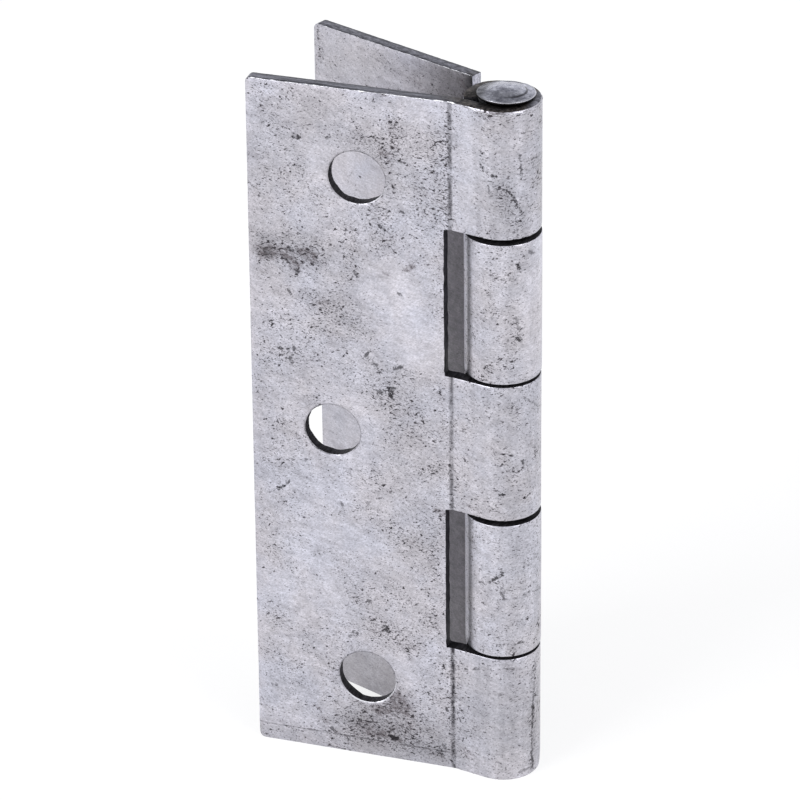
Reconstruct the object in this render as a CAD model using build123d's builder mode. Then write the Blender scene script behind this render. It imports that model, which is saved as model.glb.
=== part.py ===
from build123d import *

import os
from math import asin, atan2, degrees, hypot, tan

# Pressed steel butt hinge: two leaves folded from sheet, their edges curled into interleaved
# knuckles round one pin. Millimetres, +Z up the pin.
# Origin: the pin's axis at the leaves' bottom end. The fixed leaf runs towards -X and its
# mounting face looks towards -Y. The moving leaf is the same folding, mirrored and turned open.

# Sheet and leaf blanks
sheet = 1.35
leaf_height = 75.0
leaf_reach = 25.6  # pin axis to the free edge, at the bottom end
fixed_edge_lean = 0.4  # how much nearer the pin the free edge is at the top end
moving_edge_lean = -0.2
free_corner_radius = 0.6

# Folding, seen along the pin
face_offset = 2.92  # pin axis to the plane of the mounting face
crank_start = 4.35  # pin axis to the crease where the sheet cranks out to the knuckle
crease_radius = 0.3
curl_gap = 0.12  # between the curled end and the leaf's inner face

# Pin and its fits
pin_diameter = 4.85
grip_clearance = 0.01  # the pin is held fast in the fixed leaf
running_clearance = 0.05
pin_end_chamfer = 0.3

# Riveted head on the pin's upper end
head_seat_diameter = 5.2
head_rim_diameter = 5.74
head_rim_height = 0.34
crown_diameter = 3.84
crown_base_height = 0.62
crown_step = 0.06
crown_rise = 0.3
head_shift = (0.32, 0.06)  # the head was closed a little off the pin's axis

# Knuckles along the pin, and the slots between them
slot_depth = 5.15  # pin axis to the bottom of a slot
slot_corner_radius = 0.7
slot_length = 16.05  # in the fixed leaf
slot_spacing = 31.0  # between the middles of the fixed leaf's two slots
slot_shift = 0.4  # the slots' middle above the leaf's middle
knuckle_play = 0.95  # a slot's length over that of the moving knuckle in it
knuckle_drop = 0.1  # the moving knuckles sit below the middles of their slots

# Fastener holes, three to a leaf, the middle one set further from the pin
hole_diameter = 5.8
hole_edge_break = 0.15
end_hole_inset = 9.35  # from the leaf's top or bottom end
end_hole_reach = 13.7
middle_hole_reach = 16.8

# Opening at rest, from leaves parallel
rest_opening = 22.84

pin_radius = pin_diameter / 2
slot_middles = [leaf_height / 2 + slot_shift + side * slot_spacing / 2 for side in (-1, 1)]
fixed_slots = [(middle - slot_length / 2, middle + slot_length / 2) for middle in slot_middles]
knuckle_length = slot_length - knuckle_play
moving_knuckles = [
    (middle - knuckle_drop - knuckle_length / 2, middle - knuckle_drop + knuckle_length / 2)
    for middle in slot_middles
]
moving_slots = [
    (0, moving_knuckles[0][0]),
    (moving_knuckles[0][1], moving_knuckles[1][0]),
    (moving_knuckles[1][1], leaf_height),
]
hole_places = [
    (end_hole_reach, end_hole_inset),
    (middle_hole_reach, leaf_height / 2),
    (end_hole_reach, leaf_height - end_hole_inset),
]


def folded_leaf(bore_radius, slots, edge_lean):
    """One leaf: the folded sheet's section run up the pin, with its slots, free edge and holes cut."""
    knuckle_radius = bore_radius + sheet
    # The crank leaves the crease along the tangent to the knuckle.
    crank_angle = asin(knuckle_radius / hypot(crank_start, face_offset)) - atan2(face_offset, crank_start)
    curl_start = -90 - degrees(crank_angle)
    curl_end = 180 + degrees(asin((face_offset - sheet - curl_gap) / knuckle_radius))
    outer_crease = (-crank_start, -face_offset)
    inner_crease = (-crank_start + sheet * tan(crank_angle / 2), -face_offset + sheet)
    clear_of_knuckle = 2 * knuckle_radius

    with BuildPart() as leaf:
        with BuildSketch(Plane.XY) as section:
            with BuildLine():
                outer_curl = CenterArc((0, 0), knuckle_radius, curl_start, curl_end - curl_start)
                inner_curl = CenterArc((0, 0), bore_radius, curl_start, curl_end - curl_start)
                Line(outer_curl @ 1, inner_curl @ 1)
                Polyline(
                    outer_curl @ 0,
                    outer_crease,
                    (-leaf_reach, -face_offset),
                    (-leaf_reach, -face_offset + sheet),
                    inner_crease,
                    inner_curl @ 0,
                )
            make_face()
            fillet(section.vertices().sort_by_distance(outer_crease)[0], crease_radius)
            fillet(section.vertices().sort_by_distance(inner_crease)[0], crease_radius + sheet)
        extrude(amount=leaf_height)

        with BuildSketch(Plane.XZ) as slot_cuts:
            for low, high in slots:
                with Locations((-slot_depth, low)):
                    Rectangle(slot_depth + clear_of_knuckle, high - low, align=(Align.MIN, Align.MIN))
            inner_corners = slot_cuts.vertices().group_by(Axis.X)[0]
            fillet(inner_corners.filter_by(lambda corner: 0 < corner.Y < leaf_height), slot_corner_radius)
        extrude(amount=clear_of_knuckle, both=True, mode=Mode.SUBTRACT)

        with BuildSketch(Plane.XZ):
            with BuildLine():
                Polyline(
                    (-leaf_reach, 0),
                    (-leaf_reach + edge_lean, leaf_height),
                    (clear_of_knuckle, leaf_height),
                    (clear_of_knuckle, 0),
                    close=True,
                )
            make_face()
        extrude(amount=clear_of_knuckle, both=True, mode=Mode.INTERSECT)
        free_corners = leaf.edges().filter_by(Axis.Y).sort_by(Axis.X)[:2]
        fillet(free_corners, free_corner_radius)

        inner_face = -face_offset + sheet
        for reach, height in hole_places:
            with Locations(Plane(origin=(-reach, inner_face, height), z_dir=(0, 1, 0))):
                CounterSinkHole(
                    radius=hole_diameter / 2,
                    counter_sink_radius=hole_diameter / 2 + hole_edge_break,
                    depth=2 * sheet,
                    counter_sink_angle=90,
                )
    return leaf.part


with BuildPart() as three_knuckle_leaf:
    add(folded_leaf(pin_radius + grip_clearance, fixed_slots, fixed_edge_lean))

with BuildPart() as two_knuckle_leaf:
    flat_folding = folded_leaf(pin_radius + running_clearance, moving_slots, moving_edge_lean)
    add(flat_folding.mirror(Plane.XZ).rotate(Axis.Z, -rest_opening))

with BuildPart() as hinge_pin:
    Cylinder(pin_radius, leaf_height, align=(Align.CENTER, Align.CENTER, Align.MIN))
    chamfer(hinge_pin.edges().sort_by(Axis.Z)[0], pin_end_chamfer)
    head_foot = (*head_shift, leaf_height)
    with BuildSketch(Plane(origin=head_foot, x_dir=(1, 0, 0), z_dir=(0, -1, 0))):
        with BuildLine():
            crown_edge = (crown_diameter / 2, crown_base_height + crown_step)
            crown_top = (0, crown_base_height + crown_step + crown_rise)
            Polyline(
                crown_top,
                (0, 0),
                (head_seat_diameter / 2, 0),
                (head_rim_diameter / 2, head_rim_height),
                (crown_diameter / 2, crown_base_height),
                crown_edge,
            )
            TangentArc(crown_top, crown_edge, tangent=(1, 0))
        make_face()
    revolve(axis=Axis(head_foot, (0, 0, 1)))

os.makedirs("parts", exist_ok=True)
for name, piece in (
    ("three_knuckle_leaf", three_knuckle_leaf),
    ("two_knuckle_leaf", two_knuckle_leaf),
    ("hinge_pin", hinge_pin),
):
    piece.part.label = name
    export_step(piece.part, f"parts/{name}.step")
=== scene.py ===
from functools import partial
from math import asin, atan2, ceil, cos, hypot, pi, radians, sin

import bmesh
import bpy
import numpy as np
from mathutils import Matrix, Vector, noise


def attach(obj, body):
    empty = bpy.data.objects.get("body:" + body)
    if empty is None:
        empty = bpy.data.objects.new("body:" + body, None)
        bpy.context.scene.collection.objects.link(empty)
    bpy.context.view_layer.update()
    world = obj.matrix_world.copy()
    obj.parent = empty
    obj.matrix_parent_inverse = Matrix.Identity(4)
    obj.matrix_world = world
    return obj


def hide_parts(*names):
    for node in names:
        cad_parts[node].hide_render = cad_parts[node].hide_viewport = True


# A pressed steel butt hinge, standing on its lower end. Metres, in the CAD's frame: the pin's axis
# is Z, the three-knuckle leaf runs towards -X and the two-knuckle leaf stands open behind it.
# "Leaf coordinates" are those of the three-knuckle leaf. The two-knuckle leaf is the same folding
# mirrored and turned, so turning it back puts its faces in the same places.
# The sheet's outer side is the one that faces the front on the three-knuckle leaf.

MM = 0.001

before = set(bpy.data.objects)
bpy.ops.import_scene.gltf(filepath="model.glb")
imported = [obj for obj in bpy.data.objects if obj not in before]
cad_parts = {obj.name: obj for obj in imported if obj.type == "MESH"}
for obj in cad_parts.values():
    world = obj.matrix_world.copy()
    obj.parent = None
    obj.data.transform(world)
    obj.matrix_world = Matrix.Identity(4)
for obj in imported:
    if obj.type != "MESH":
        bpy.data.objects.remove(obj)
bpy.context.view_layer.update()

# Sizes of the leaves and the pin, as in the CAD, in mm
SHEET = 1.35
FACE_OFFSET = 2.92  # pin axis to the mounting face
CREASE_REACH = 4.35
SLOT_DEPTH = 5.15
CORNER_RADIUS = 0.7  # of the slots' inner corners
LEAF_HEIGHT = 75.0
LEAF_REACH = 25.6
FREE_CORNER_RADIUS = 0.6
HOLE_RADIUS = 2.9
HOLES = ((13.7, 9.35), (16.8, 37.5), (13.7, 65.65))  # reach from the pin axis, height
REST_OPENING = radians(22.84)
PIN_RADIUS = 2.425
HEAD_SHIFT = (0.32, 0.06)  # the riveted head was closed a little off the pin's axis
HEAD_RIM_HEIGHT = 0.34

# What the CAD leaves out
CORNER_BLEND = 1.5  # mm from a slot corner's middle within which squaring it moves the sheet
TOP_ROLL = 0.34  # mm by which the top knuckle's outer edge is rounded over
BURR_END = 2.1  # how far round the top knuckle its burr runs, in radians from the side facing -Y

# "sheared" is how the leaf's cut edges look: their dark and light tones, and how far their bands run
# along the cut in mm. "punched" is how each hole really came out, in mm: its shift along x, its reach
# across, downwards and upwards, and then how bright the painted highlight on its lower rim is.
LEAVES = {
    "three_knuckle_leaf": {
        "body": "fixed_leaf",
        "to_leaf": Matrix.Identity(3),
        "bore": PIN_RADIUS + 0.01,
        "edge_lean": 0.4,
        "sheared": ("#55555c", "#acacb6", 5.0),
        "punched": (
            (0.06, 2.99, 3.0, 2.9, 0.9),
            (-0.08, 2.88, 2.73, 2.87, 0),
            (-0.25, 2.9, 2.69, 2.84, 0.45),
        ),
        "slots": ((14.375, 30.425), (45.375, 61.425)),
    },
    "two_knuckle_leaf": {
        "body": "moving_leaf",
        "to_leaf": Matrix.Diagonal((1, -1, 1)) @ Matrix.Rotation(REST_OPENING, 3, "Z"),
        "bore": PIN_RADIUS + 0.05,
        "edge_lean": -0.2,
        "sheared": ("#616169", "#a8a8b2", 0.8),
        "punched": ((0, HOLE_RADIUS, HOLE_RADIUS, HOLE_RADIUS, 0),) * 3,
        "slots": ((0, 14.775), (29.825, 45.775), (60.825, 75)),
    },
}

# What handling has left on the sheets. Each mark runs from one place to another on the unrolled
# sheet: mm past the crease, towards the knuckle, and mm above the bottom end, twice, then its
# reach to each side in mm, and its strength.
STAINS = {
    "three_knuckle_leaf": (
        (-19.5, 56.4, -18, 56.5, 0.94, 1), (-17, 56.3, -16, 55.8, 0.73, 0.85),
        (-15.3, 56.9, -14.3, 56.7, 0.84, 1), (-16.4, 55.2, -15.8, 55.1, 0.53, 0.9),
        (-17.2, 57, -16.6, 56.8, 0.53, 0.7), (-13.6, 58.6, -12.8, 58.3, 0.53, 0.5),
        (-19.4, 54.4, -19.4, 54.4, 0.53, 0.4), (-5.5, 57.1, -4.7, 56.6, 0.32, 0.6),
        (-4.7, 56.5, -3.9, 57, 0.37, 1), (-19.5, 72.4, -19.1, 71.7, 0.53, 0.6),
        (-19.4, 67.9, -19.6, 66.8, 0.53, 0.35), (-6.5, 74.9, -7.2, 74.8, 0.32, 0.8),
        (-10, 69.9, -7.9, 69.6, 0.73, 0.45), (-7.1, 69, -6.2, 68.3, 0.42, 0.8),
        (-5.9, 71.9, -5.5, 69.3, 0.73, 0.45), (-8.2, 62.7, -7, 60.9, 0.73, 0.45),
        (-10.1, 60.6, -9.9, 59, 0.63, 0.35), (-10.4, 55.7, -9.8, 55.1, 0.53, 0.5),
        (-6.9, 56, -6.4, 55.7, 0.26, 0.7), (-13.8, 51.7, -12.1, 51.7, 0.42, 0.6),
        (-7.5, 43.1, -7.1, 42, 0.84, 0.4), (-6.3, 40.6, -5.2, 40.1, 0.63, 0.45),
        (-16.4, 36.1, -15.6, 35.5, 0.53, 0.5), (-19.5, 33.1, -18, 32.8, 0.94, 0.4),
        (-1.8, 30.1, -1.1, 29.9, 0.42, 0.8), (-19.7, 21.9, -18.2, 21.4, 0.73, 0.35),
        (-5.2, 26.9, -4.3, 25.6, 0.53, 0.5), (-2.2, 24.3, -2, 23.2, 0.42, 0.6),
        (-8.3, 15.1, -7.2, 15.3, 0.53, 0.6), (-5.5, 13.9, -4.5, 13.7, 0.73, 0.5),
        (-6.9, 8.0, -5.4, 6.3, 1.15, 1), (-8.2, 5.6, -6.2, 6.2, 0.73, 1), (-9.9, 5.8, -9.1, 4.7, 0.53, 0.5),
        (-9.5, 2.9, -6.9, 2.8, 0.63, 0.9), (-6.7, 2.7, -5.9, 2.4, 0.42, 1),
        (-14.5, 4.5, -13.7, 2.9, 0.42, 0.5), (-13.7, 2.7, -11.7, 2, 0.42, 0.45),
        (-15.2, 5, -14.7, 4.9, 0.32, 0.7), (-2.6, 1.5, -1.3, 1.2, 0.63, 0.65),
        (-3.1, 4.1, -2.5, 4, 0.32, 0.6), (-2.1, 9.3, -1.5, 9.3, 0.32, 0.6),
        (3.5, 74.1, 4.3, 73.7, 0.53, 0.35), (5.6, 65.2, 6, 63.6, 0.63, 0.3),
        (0.4, 2.9, 2.5, 2.3, 0.42, 0.7), (5.8, 13.4, 7.3, 12.3, 0.84, 0.3),
        (1.7, 31.4, 3.1, 31.4, 0.42, 0.6), (5.2, 37.9, 6, 37.1, 0.53, 0.35),
        (8.9, 39.3, 8.5, 37, 0.42, 0.35), (9.1, 8, 9, 1, 0.25, 0.7), (3.6, 74.7, 5.6, 74.7, 0.3, 1),
        (-10, 3.6, -5, 4.2, 1.2, 0.55), (-6.4, 9.4, -6.2, 5, 0.7, 0.6),
    ),
    "two_knuckle_leaf": (
        (-20.5, 74.5, -20.3, 71, 0.3, 0.6), (-2, 74, -1.5, 72, 0.8, 0.7), (-10, 73, -7, 72, 0.8, 0.4),
    ),
}
# Where small dark pits crowd together
PITTING = {
    "three_knuckle_leaf": (
        (-0.4, 73.9, -0.5, 61.6, 0.47, 0.85), (-1.6, 72.9, -1.3, 61.8, 1.05, 0.6),
        (-5.6, 71.9, -5.7, 68.7, 0.94, 0.8), (-7.1, 69.9, -6.5, 68.1, 0.94, 0.8),
        (-9.6, 70.1, -7.6, 69.7, 0.94, 0.55), (-18.9, 56.7, -14.3, 56.7, 1.47, 0.8),
        (-7.2, 62.6, -6.9, 58.4, 1.26, 0.6), (-10.3, 60, -10.2, 55.2, 1.05, 0.5),
        (-13.6, 51.6, -10.5, 50.2, 1.68, 0.6), (-15.7, 48.3, -11.5, 48.9, 1.89, 0.35),
        (-19.2, 44.4, -16.2, 45.8, 1.05, 0.5), (-8, 42.8, -4.4, 40.5, 2.1, 0.55),
        (-6, 38.6, -1.3, 38.4, 1.05, 0.45), (-11.8, 34.3, -10.6, 32.4, 1.26, 0.35),
        (-7.7, 26.9, -2.4, 26, 1.47, 0.45), (-2.2, 29, -2, 22.1, 0.63, 0.6),
        (-19, 22.5, -17.4, 21.1, 1.05, 0.5), (-11, 18, -8.7, 18.6, 0.84, 0.45),
        (-8.1, 15.4, -4.4, 14.1, 1.47, 0.65), (-7.4, 6.9, -4.5, 5, 1.47, 0.8),
        (-9.1, 2.8, -1.6, 1.7, 1.05, 0.6), (-1.3, 44.4, -0.1, 31.6, 0.63, 0.4),
        (-0.2, 13, -0.3, 1, 0.53, 0.6), (1.6, 8.8, 1.6, 7.3, 1.05, 0.3), (5.7, 66.8, 7.2, 62.9, 0.84, 0.75),
        (-9.5, 5, -4.5, 5, 2.5, 0.6), (5, 12, 7.5, 2, 2.2, 0.2), (-10.5, 3.5, -5, 3, 2.0, 0.9),
        (9.2, 13, 9, 1, 0.5, 0.6), (-2.5, 69, -2.5, 62, 1.5, 0.45),
    ),
    "two_knuckle_leaf": (
        (-13, 74, -3, 72, 1.2, 0.35), (-20.6, 74, -20.5, 71, 0.5, 0.45), (-10, 71, -3, 69, 1.2, 0.25),
        (12.5, 52, 13.5, 48, 1.0, 0.4),
    ),
}
# Single nicks, dents and scratches
SCARS = {
    "three_knuckle_leaf": (
        (-15.9, 69.4, -15.4, 69.3, 0.27, 0.9), (-12.5, 69.6, -12.3, 69.9, 0.15, 0.8),
        (-5.3, 68.2, -4.7, 68, 0.15, 0.8), (-5.2, 62.8, -4.9, 62.7, 0.2, 0.8),
        (-5.5, 53.9, -5.1, 53.7, 0.17, 0.8), (-16.8, 52.6, -16.6, 52.2, 0.15, 0.7),
        (-17.9, 46, -17.1, 46, 0.16, 0.85), (-16.4, 46.4, -16.4, 46, 0.19, 0.7),
        (-16.8, 45, -16.6, 44.6, 0.19, 0.65), (-8.8, 46.8, -8.5, 47, 0.16, 0.8),
        (-9, 46.4, -8.7, 46.6, 0.15, 0.7), (-8.2, 45.7, -7.8, 45.5, 0.16, 0.7),
        (-7.7, 44.8, -7.2, 45.1, 0.17, 0.7), (-5.9, 45.4, -5.2, 45.8, 0.18, 0.75),
        (-6.6, 43.2, -5.9, 43.2, 0.17, 0.75), (-6.5, 42.5, -6.1, 42.1, 0.19, 0.95),
        (-7.8, 42.7, -7.2, 42.5, 0.19, 0.6), (-7.4, 41.4, -7.1, 41.3, 0.19, 0.7),
        (-18.4, 29.9, -17.8, 30.3, 0.16, 1), (-17.5, 30.7, -17.2, 31, 0.13, 0.8),
        (-11.8, 29.4, -11.6, 29.2, 0.17, 0.7), (-15.4, 33.7, -15.2, 33.9, 0.13, 0.6),
        (-7.3, 15.6, -7, 15.2, 0.27, 0.85), (-10.6, 14.5, -10.2, 14.4, 0.18, 0.7),
        (-11.2, 13.9, -10.9, 14.1, 0.16, 0.6), (-9.2, 18.3, -8.9, 18.4, 0.16, 0.7),
        (-19.6, 6.7, -19.2, 6.7, 0.15, 0.7), (-13.2, 2.5, -12.9, 2.2, 0.19, 0.7),
        (-11.6, 1.6, -11.3, 1.5, 0.16, 0.7), (-6.8, 2.6, -6.2, 2.5, 0.23, 0.9),
        (-1.2, 2.6, -1, 2.3, 0.19, 0.8), (-1.9, 1.8, -1.3, 1.4, 0.17, 0.7),
        (-16.7, 57.2, -16.4, 57, 0.23, 0.7), (-19.2, 56.6, -18.7, 56, 0.32, 0.5),
        (-16, 54.9, -15.8, 54.7, 0.19, 0.7), (-7.3, 60.9, -6.9, 60.6, 0.19, 0.7),
        (-9.9, 55.5, -9.7, 55.1, 0.17, 0.7), (3.1, 70.6, 3.4, 70.6, 0.14, 0.9),
        (2.9, 69.2, 3.2, 68.7, 0.13, 0.9), (3.3, 69.2, 3.6, 68.7, 0.13, 0.9),
        (4.4, 68.2, 4.8, 68.2, 0.13, 0.9), (4.1, 67.1, 4.2, 66.5, 0.13, 0.6),
        (5.6, 66.8, 6.1, 66.6, 0.12, 0.85), (6.2, 66.4, 6.5, 66, 0.13, 0.85),
        (6.6, 65.8, 6.9, 65.3, 0.14, 0.85), (7, 65, 7.5, 64, 0.12, 0.8), (7.2, 70.3, 7.3, 69.3, 0.15, 0.7),
        (7.3, 69.2, 7.4, 67.9, 0.14, 0.8), (7.9, 69.5, 10.5, 69.4, 0.08, 0.6),
        (7.9, 68.6, 10.2, 68.5, 0.06, 0.4), (8.5, 66.5, 10.2, 66.5, 0.09, 0.65),
        (6.4, 43.7, 6.5, 43.1, 0.13, 0.7), (7.6, 37, 7.7, 36.6, 0.15, 0.8),
        (5.2, 33.4, 5.7, 33.5, 0.13, 0.95), (7.7, 32.7, 8.4, 33, 0.13, 1), (7.7, 44, 8.5, 43.3, 0.13, 0.6),
        (8.9, 43, 10.4, 42, 0.1, 0.5), (1.3, 12.3, 1.5, 12.4, 0.17, 0.7), (4, 13.2, 4.2, 13.1, 0.17, 0.5),
        (-0.9, 7.2, -0.7, 6.8, 0.16, 0.8), (2.9, 4.8, 3.1, 4.7, 0.15, 0.7),
        (5.6, 13.4, 6.6, 13.3, 0.1, 0.5), (9, 8.2, 8.9, 5.8, 0.2, 0.85), (8.9, 5.7, 8.8, 3.1, 0.1, 0.7),
        (8.8, 2.8, 9.1, 0.6, 0.19, 0.8), (9.2, 9.8, 9, 8.3, 0.1, 0.6), (9.4, 13.6, 9.2, 9.8, 0.05, 0.5),
        (7.3, 0.8, 8.6, 0.9, 0.17, 0.5),
    ),
    "two_knuckle_leaf": (
        (12.3, 58.8, 12.3, 58.3, 0.21, 1), (11, 59.8, 10.5, 59.4, 0.17, 0.6),
        (9.6, 53.4, 9.6, 53, 0.1, 0.9), (12.4, 50.8, 12.1, 50.5, 0.21, 0.9),
        (12.5, 53, 12.2, 51.6, 0.17, 0.4), (14, 57.2, 12.5, 57.2, 0.06, 0.5),
        (14, 24.9, 13.8, 24.2, 0.14, 0.9), (14.9, 23.6, 14.1, 24.2, 0.16, 0.85),
        (16.5, 22.9, 16, 23.2, 0.12, 0.8), (14, 22.3, 13.7, 21.5, 0.15, 0.7),
        (14.1, 22.8, 12.9, 22.4, 0.07, 0.5), (11.5, 21.9, 8.2, 21, 0.06, 0.6),
        (13.5, 21.5, 10.8, 21.4, 0.06, 0.4), (15.2, 16.3, 12.2, 16.1, 0.07, 0.6),
        (12.2, 16.2, 11.7, 16.2, 0.16, 0.8), (-20.8, 74.7, -20.7, 73.2, 0.12, 0.8),
        (-20.2, 74.2, -20.1, 71.5, 0.06, 0.5), (-18.5, 71.2, -18.4, 71.2, 0.12, 0.8),
        (-7.6, 73.05, -7.5, 73, 0.12, 0.8), (-2, 75, -1.8, 74.7, 0.14, 0.9),
        (-16.4, 60.3, -17, 59.4, 0.05, 0.4), (-15.4, 59.9, -15.4, 59.8, 0.08, 0.8),
        (-14, 73.5, -10, 72.6, 0.05, 0.5),
    ),
}
# Places painted paler than the rest: rubbed patches, and painted highlights down the knuckles and along the
# free edge
RUBBED = {
    "three_knuckle_leaf": (
        (-6.3, 54.1, -3.5, 48.5, 2.73, 1), (-20.7, 19.5, -16.4, 17.3, 2.31, 0.5),
        (-16.3, 22, -13.1, 19, 1.89, 0.5), (-3.5, 73.9, -2, 73.7, 1.47, 0.6),
        (-13.4, 68.2, -13.5, 65, 1.26, 0.5), (0.4, 61.6, 0.8, 62.2, 0.63, 0.3),
        (3.1, 40.4, 3.6, 36, 0.84, 0.5), (1.8, 72.5, 1.9, 63, 0.94, 0.5),
        (-6.5, 56.5, -5.8, 55.3, 1.05, 0.4), (-15.1, 26.8, -9.8, 25.4, 2.1, 0.5),
        (-5.7, 12, -4.9, 9.8, 0.73, 0.5), (-20.9, 72, -21, 4, 0.5, 0.35), (-14, 28, -10, 40, 2.5, 0.35),
        (3.5, 12, 7, 2, 2.6, 0.3),
    ),
    "two_knuckle_leaf": (
        (15.8, 27.5, 15.8, 25.7, 0.53, 0.6), (8.5, 59, 9.5, 49, 2.4, 0.65),
    ),
}
# Places made darker than the rest
DULLED = {
    "three_knuckle_leaf": (
        (-10, 3, -2, 2, 3.0, 0.4), (-21, 0.8, 9, 0.8, 1.2, 0.1), (6, 7, 8, 6, 4.5, 0.35),
        (-20, 66, -13, 70, 3.5, 0.15), (-19, 57, -14, 57, 2.5, 0.2), (-9, 70, -6, 66, 2.5, 0.15),
        (-12, 51, -9, 56, 3.0, 0.12), (-6, 43, -3, 27, 3.0, 0.12), (6, 45, 7, 32, 1.8, 0.15),
        (5.5, 66, 6.5, 62, 2.0, 0.2), (8, 36, 8, 44, 1.2, 0.12),
    ),
    "two_knuckle_leaf": (
        (12, 60, 12, 47, 1.8, 0.1), (12, 29, 12, 16, 1.8, 0.15), (-19, 2, -10, 2, 3.5, 0.5),
        (-18, 22, -18, 38, 5, 0.15), (-20, 71, -6, 73, 5, 0.27),
    ),
}

scene = bpy.context.scene


def add_object(name, data):
    """A new object in the scene."""
    added = bpy.data.objects.new(name, data)
    scene.collection.objects.link(added)
    return added


def baked(holder):
    """An object's mesh with its modifiers carried out. The object goes."""
    mesh = bpy.data.meshes.new_from_object(holder.evaluated_get(bpy.context.evaluated_depsgraph_get()))
    bpy.data.objects.remove(holder)
    return mesh


def linear(hex_colour):
    """An sRGB hex colour as linear RGBA."""
    channels = [int(hex_colour[i : i + 2], 16) / 255 for i in (1, 3, 5)]
    return (*[c / 12.92 if c <= 0.04045 else ((c + 0.055) / 1.055) ** 2.4 for c in channels], 1.0)


def set_inputs(node, values):
    """Sets a node's inputs, by name or number, or links those whose value is a socket."""
    for key, value in values.items():
        if isinstance(value, bpy.types.NodeSocket):
            node.id_data.links.new(value, node.inputs[key])
        else:
            node.inputs[key].default_value = value


def add_node(tree, kind, inputs=None, **settings):
    """Adds a node with its settings and inputs. Gives its first output in use."""
    node = tree.nodes.new(kind)
    for key, value in settings.items():
        setattr(node, key, value)
    set_inputs(node, inputs or {})
    return next((output for output in node.outputs if output.enabled), None)


def steel_tree(name, leaf_name=None):
    """A new bare-metal material, what adds a node to it, its shader, and the place on it in leaf mm."""
    material = bpy.data.materials.new(name)
    material.use_nodes = True
    add = partial(add_node, material.node_tree)
    shader = material.node_tree.nodes["Principled BSDF"]
    shader.inputs["Metallic"].default_value = 1.0
    mirrored = leaf_name == "two_knuckle_leaf"
    where = add("ShaderNodeTexCoord").node.outputs["Object"]
    opening, y_scale = (-REST_OPENING, -MM) if mirrored else (0, MM)
    to_leaf = {"Rotation": (0, 0, opening), "Scale": (MM, y_scale, MM)}
    place = add("ShaderNodeMapping", {"Vector": where, **to_leaf}, vector_type="TEXTURE")
    return material, add, shader, place


def clouding(add, place, sizes, low, high, ends=(0.35, 0.65), detail=3.0, roughness=0.6, tilt=0.0):
    """Random lumps, `sizes` mm across along x, y and z, that go from low to high."""
    grid = add(
        "ShaderNodeMapping",
        {"Vector": place, "Rotation": (0, tilt, 0), "Scale": sizes},
        vector_type="TEXTURE",
    )
    lumps = add(
        "ShaderNodeTexNoise", {"Vector": grid, "Scale": 1.0, "Detail": detail, "Roughness": roughness}
    )
    spread = {"From Min": ends[0], "From Max": ends[1], "To Min": low, "To Max": high}
    return add("ShaderNodeMapRange", {"Value": lumps, **spread})


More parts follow.
